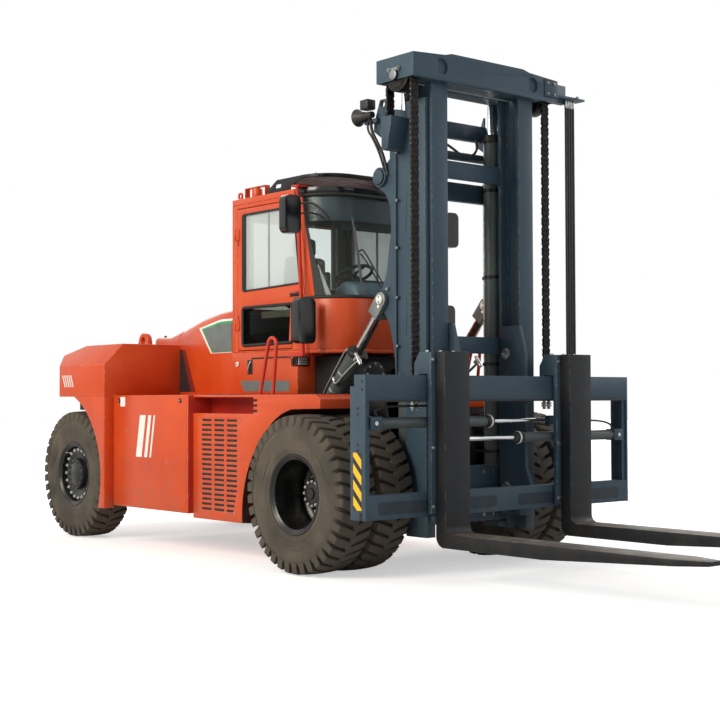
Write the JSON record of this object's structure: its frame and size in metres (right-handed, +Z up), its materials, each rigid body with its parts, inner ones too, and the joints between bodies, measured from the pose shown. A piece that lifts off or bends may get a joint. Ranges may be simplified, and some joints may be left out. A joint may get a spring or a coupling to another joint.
{
  "type": "electric forklift",
  "caption": "Heavy electric counterbalance forklift with twin front tyres, steered rear wheels, glazed cab, two-stage tilting mast and wide fork carriage.",
  "frame": {"origin": "on the ground under the middle of the truck's overall box", "axes": "+X forward along the forks, +Y to the driver's left, +Z up"},
  "size_m": [8.66, 3.2, 4.453],
  "materials": {
    "orange_paint": "gloss enamel",
    "mast_paint": "satin enamel",
    "dark_paint": "satin black enamel",
    "fork_steel": "semi-matt black",
    "tyre_rubber": "matt rubber",
    "rim_paint": "satin black",
    "chrome_rod": "polished",
    "cylinder_paint": "satin grey",
    "chain_steel": "oiled steel",
    "hose_rubber": "smooth rubber",
    "cab_glass": "clear tinted",
    "seat_fabric": "woven",
    "black_plastic": "moulded",
    "battery_case": "plain"
  },
  "bodies": {
    "chassis": {"front_axle": "dark_paint", "steer_axle": "dark_paint", "main_frame": "dark_paint", "counterweight": "orange_paint", "rear_arches": "orange_paint", "battery_housings": "orange_paint", "battery_packs": "battery_case", "front_fenders": "orange_paint", "hood": "orange_paint", "cab_base": "orange_paint", "cab_nose": "orange_paint", "cab_glass": "cab_glass", "cab_rear_wall": "orange_paint", "cab_sides": "orange_paint", "cab_roof": "orange_paint", "roof_guard": "dark_paint", "roof_fittings": "orange_paint", "seat": "seat_fabric", "steering_console": "black_plastic", "mirrors": "black_plastic", "rails_and_poles": "orange_paint", "head_lamps": "black_plastic"},
    "front_wheels_right": {"front_tyres_right": "tyre_rubber", "front_rims_right": "rim_paint"},
    "front_wheels_left": {"front_tyres_left": "tyre_rubber", "front_rims_left": "rim_paint"},
    "knuckle_right": {"steer_knuckle_right": "dark_paint"},
    "knuckle_left": {"steer_knuckle_left": "dark_paint"},
    "rear_wheel_right": {"rear_tyre_right": "tyre_rubber", "rear_rim_right": "rim_paint"},
    "rear_wheel_left": {"rear_tyre_left": "tyre_rubber", "rear_rim_left": "rim_paint"},
    "door_right": {"door_right": "orange_paint", "door_glass_right": "cab_glass"},
    "door_left": {"door_left": "orange_paint", "door_glass_left": "cab_glass"},
    "outer_mast": {"outer_uprights": "mast_paint", "outer_crossmembers": "mast_paint", "lift_barrels": "cylinder_paint"},
    "inner_mast": {"inner_uprights": "mast_paint", "inner_crossmembers": "mast_paint", "crosshead": "mast_paint", "chain_sheaves": "chain_steel", "front_chains": "chain_steel", "rear_chains": "chain_steel", "mast_hoses": "hose_rubber", "lift_rods": "chrome_rod"},
    "carriage": {"carriage_frame": "mast_paint", "carriage_guides": "mast_paint", "positioner_barrels": "mast_paint"},
    "fork_right": {"fork_right": "fork_steel", "fork_bracket_right": "mast_paint", "fork_rod_right": "chrome_rod"},
    "fork_left": {"fork_left": "fork_steel", "fork_bracket_left": "mast_paint", "fork_rod_left": "chrome_rod"},
    "tilt_barrel_right": {"tilt_barrel_right": "cylinder_paint"},
    "tilt_barrel_left": {"tilt_barrel_left": "cylinder_paint"},
    "tilt_rod_right": {"tilt_rod_right": "chrome_rod"},
    "tilt_rod_left": {"tilt_rod_left": "chrome_rod"}
  },
  "joints": [
    {"name": "front_wheels_right_spin", "type": "hinge", "parent": "chassis", "child": "front_wheels_right", "pos_m": [0.57, -1.1015, 0.685], "axis": [0, 1, 0], "continuous": true},
    {"name": "steer_right", "type": "hinge", "parent": "chassis", "child": "knuckle_right", "pos_m": [-3.645, -0.9, 0.685], "axis": [0, 0, 1], "range_deg": [-55, 55]},
    {"name": "rear_wheel_right_spin", "type": "hinge", "parent": "knuckle_right", "child": "rear_wheel_right", "pos_m": [-3.645, -1.135, 0.685], "axis": [0, 1, 0], "continuous": true},
    {"name": "door_right_swing", "type": "hinge", "parent": "chassis", "child": "door_right", "pos_m": [-1.39, -0.724, 2.6], "axis": [0, 0, -1], "range_deg": [0, 85]},
    {"name": "fork_right_shift", "type": "slide", "parent": "carriage", "child": "fork_right", "axis": [0, -1, 0], "range_m": [-0.35, 0.35]},
    {"name": "tilt_barrel_right_swing", "type": "hinge", "parent": "chassis", "child": "tilt_barrel_right", "pos_m": [-0.07, -0.642, 1.32], "axis": [0, 1, 0], "range_deg": [-14, 8]},
    {"name": "tilt_rod_right_slide", "type": "slide", "parent": "tilt_barrel_right", "child": "tilt_rod_right", "axis": [0.6402, 0, 0.7682], "range_m": [-0.27, 0.15]},
    {"name": "front_wheels_left_spin", "type": "hinge", "parent": "chassis", "child": "front_wheels_left", "pos_m": [0.57, 1.1015, 0.685], "axis": [0, 1, 0], "continuous": true},
    {"name": "steer_left", "type": "hinge", "parent": "chassis", "child": "knuckle_left", "pos_m": [-3.645, 0.9, 0.685], "axis": [0, 0, 1], "range_deg": [-55, 55]},
    {"name": "rear_wheel_left_spin", "type": "hinge", "parent": "knuckle_left", "child": "rear_wheel_left", "pos_m": [-3.645, 1.135, 0.685], "axis": [0, 1, 0], "continuous": true},
    {"name": "door_left_swing", "type": "hinge", "parent": "chassis", "child": "door_left", "pos_m": [-1.39, 0.724, 2.6], "axis": [0, 0, 1], "range_deg": [0, 85]},
    {"name": "fork_left_shift", "type": "slide", "parent": "carriage", "child": "fork_left", "axis": [0, 1, 0], "range_m": [-0.35, 0.35]},
    {"name": "tilt_barrel_left_swing", "type": "hinge", "parent": "chassis", "child": "tilt_barrel_left", "pos_m": [-0.07, 0.642, 1.32], "axis": [0, 1, 0], "range_deg": [-14, 8]},
    {"name": "tilt_rod_left_slide", "type": "slide", "parent": "tilt_barrel_left", "child": "tilt_rod_left", "axis": [0.6402, 0, 0.7682], "range_m": [-0.27, 0.15]},
    {"name": "mast_tilt", "type": "hinge", "parent": "chassis", "child": "outer_mast", "pos_m": [0.9, 0, 0.62], "axis": [0, 1, 0], "range_deg": [-12, 6]},
    {"name": "mast_lift", "type": "slide", "parent": "outer_mast", "child": "inner_mast", "axis": [0, 0, 1], "range_m": [-0.13, 1.62], "deforming": ["rear_chains"]},
    {"name": "carriage_lift", "type": "slide", "parent": "inner_mast", "child": "carriage", "axis": [0, 0, 1], "range_m": [-0.13, 1.62], "deforming": ["front_chains", "mast_hoses"]}
  ],
  "couplings": [
    {"joint": "steer_left", "follows": "steer_right", "ratio": 1},
    {"joint": "carriage_lift", "follows": "mast_lift", "ratio": 1},
    {"joint": "tilt_barrel_right_swing", "follows": "mast_tilt", "ratio": 0.9834},
    {"joint": "tilt_rod_right_slide", "follows": "mast_tilt", "m_per_rad": 1.1917},
    {"joint": "tilt_barrel_left_swing", "follows": "mast_tilt", "ratio": 0.9834},
    {"joint": "tilt_rod_left_slide", "follows": "mast_tilt", "m_per_rad": 1.1917}
  ]
}
